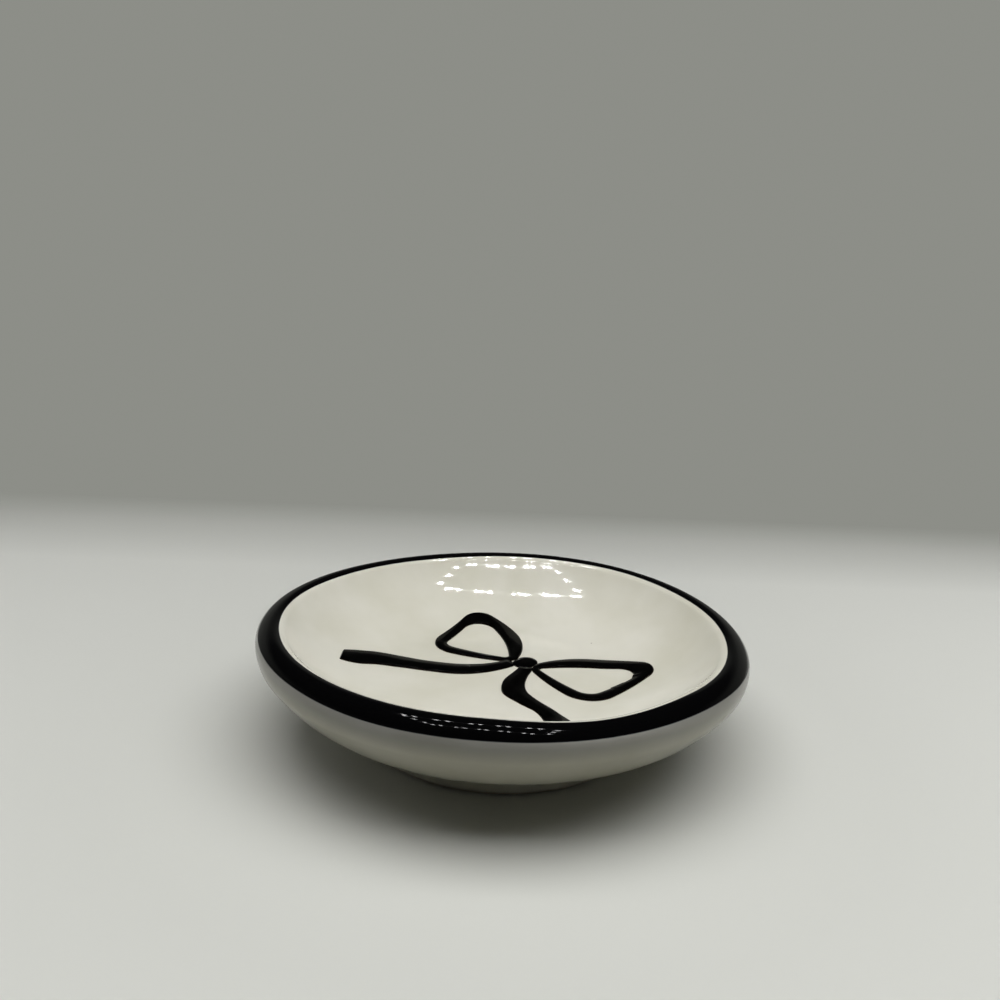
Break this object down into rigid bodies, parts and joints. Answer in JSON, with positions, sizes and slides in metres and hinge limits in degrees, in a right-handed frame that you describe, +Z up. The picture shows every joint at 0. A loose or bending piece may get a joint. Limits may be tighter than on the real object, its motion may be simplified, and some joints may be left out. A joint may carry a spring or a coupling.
{
  "type": "ring dish",
  "caption": "Small round glazed ceramic ring dish: thick shallow bowl on a foot ring, black band over the lip and a ribbon bow painted on the floor, for holding rings and trinkets.",
  "frame": {"origin": "on the dish's axis, in the plane that the foot ring stands on", "axes": "+Z up along the dish's axis; +Y towards the top of the bow; +X to the bow's right as seen from above"},
  "size_m": [0.071, 0.071, 0.0167],
  "materials": {
    "fired_clay": "bare, matt, fine grain",
    "white_glaze": "gloss",
    "black_glaze": "high gloss",
    "bow_paint": "gloss, slight relief"
  },
  "bodies": {
    "root": {"clay_body": "fired_clay", "foot_ring": "fired_clay", "inner_glaze": "white_glaze", "outer_glaze": "white_glaze", "foot_well_glaze": "white_glaze", "rim_band": "black_glaze", "bow_knot": "bow_paint", "bow_loop_right": "bow_paint", "bow_loop_left": "bow_paint", "bow_tail_right": "bow_paint", "bow_tail_left": "bow_paint"}
  },
  "joints": []
}
